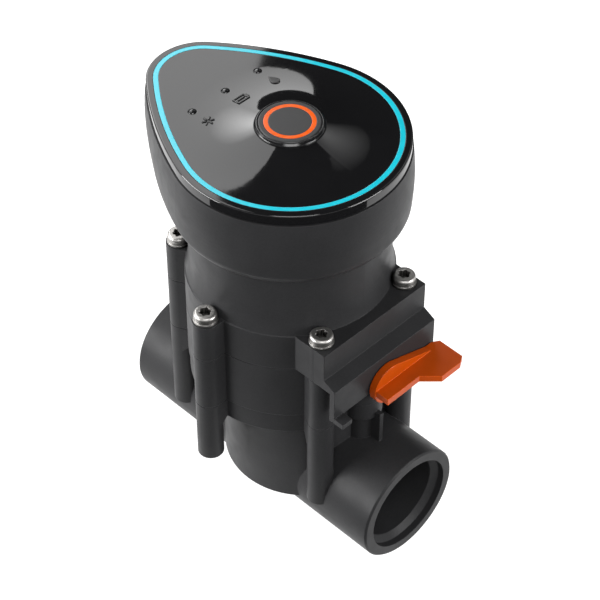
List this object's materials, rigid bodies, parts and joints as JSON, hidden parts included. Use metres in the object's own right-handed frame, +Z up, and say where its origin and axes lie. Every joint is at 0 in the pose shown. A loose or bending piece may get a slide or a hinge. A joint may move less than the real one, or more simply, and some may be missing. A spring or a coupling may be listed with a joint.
{
  "type": "smart irrigation valve",
  "caption": "Inline diaphragm irrigation valve with a battery-powered control head, a manual bleed lever and threaded pipe mouths.",
  "frame": {"origin": "on the pipe axis where the inlet's thread begins, 4.3 mm inside the inlet's end face", "axes": "+X along the flow from inlet to outlet, +Z up through the diaphragm and the control head"},
  "size_m": [0.1132, 0.0838, 0.154],
  "materials": {
    "moulded_grey": "glass-filled nylon, fine spark-eroded texture",
    "lid_black": "polished black moulding",
    "light_cyan": "translucent cyan light guide",
    "light_orange": "translucent orange light guide",
    "lever_orange": "orange acetal moulding",
    "stainless": "passivated stainless steel",
    "seal_rubber": "black nitrile rubber",
    "inner_nylon": "black nylon moulding",
    "copper_winding": "enamelled copper wire",
    "soft_iron": "zinc-plated steel",
    "contact_brass": "plated brass",
    "board_green": "solder-resist green",
    "battery_case": "lacquered steel can",
    "clear_guide": "clear light pipe",
    "switch_cream": "cream nylon",
    "magnet_dark": "nickel-plated magnet"
  },
  "bodies": {
    "valve": {"valve_body": "moulded_grey", "middle_ring": "moulded_grey", "bonnet": "moulded_grey", "bonnet_screws": "stainless", "bonnet_o_ring": "seal_rubber", "pillar_o_ring": "seal_rubber", "diaphragm": "seal_rubber", "closing_spring": "stainless", "solenoid_o_ring": "seal_rubber", "plunger_guide": "stainless", "fixed_core": "soft_iron", "bobbin": "inner_nylon", "coil_winding": "copper_winding", "solenoid_can": "soft_iron", "solenoid_screws": "stainless", "latch_magnet": "magnet_dark", "terminal_board": "inner_nylon", "terminal_studs": "contact_brass", "plunger_spring": "stainless"},
    "diaphragm_stack": {"seat_washer": "seal_rubber", "washer_holder": "inner_nylon", "diaphragm_plate": "inner_nylon", "diaphragm_bolt": "stainless", "diaphragm_nut": "stainless"},
    "plunger": {"plunger": "soft_iron", "pilot_seal": "seal_rubber"},
    "lever": {"manual_lever": "lever_orange", "bleed_spindle": "inner_nylon", "spindle_o_rings": "seal_rubber"},
    "control_unit": {"head_shell": "moulded_grey", "head_lid": "lid_black", "light_ring": "light_cyan", "lid_gasket": "seal_rubber", "button_bezel": "lid_black", "head_base": "inner_nylon", "head_o_ring": "seal_rubber", "base_screws": "stainless", "contact_pins": "contact_brass", "battery_cradle": "inner_nylon", "battery": "battery_case", "battery_clasp": "inner_nylon", "circuit_board": "board_green", "board_screws": "stainless", "led_chips": "clear_guide", "led_light_pipes": "clear_guide", "radio_module": "soft_iron", "push_switch": "inner_nylon"},
    "button": {"button_cap": "lid_black", "button_light_ring": "light_orange", "switch_stem": "switch_cream"}
  },
  "joints": [
    {"name": "diaphragm_lift", "type": "slide", "parent": "valve", "child": "diaphragm_stack", "axis": [0, 0, 1], "range_m": [0, 0.006], "stiffness_N_per_m": 500, "springref_m": -0.012, "deforming": ["closing_spring", "diaphragm"]},
    {"name": "plunger_lift", "type": "slide", "parent": "valve", "child": "plunger", "axis": [0, 0, 1], "range_m": [0, 0.0019], "stiffness_N_per_m": 80, "springref_m": -0.004, "deforming": ["plunger_spring"]},
    {"name": "lever_turn", "type": "hinge", "parent": "valve", "child": "lever", "pos_m": [0.094, 0, 0.0511], "axis": [1, 0, 0], "range_deg": [0, 180]},
    {"name": "head_lift_off", "type": "slide", "parent": "valve", "child": "control_unit", "axis": [0, 0, 1], "range_m": [0, 0.06]},
    {"name": "button_press", "type": "slide", "parent": "control_unit", "child": "button", "axis": [0, 0, -1], "range_m": [0, 0.0007], "stiffness_N_per_m": 800, "springref_m": -0.0005}
  ]
}
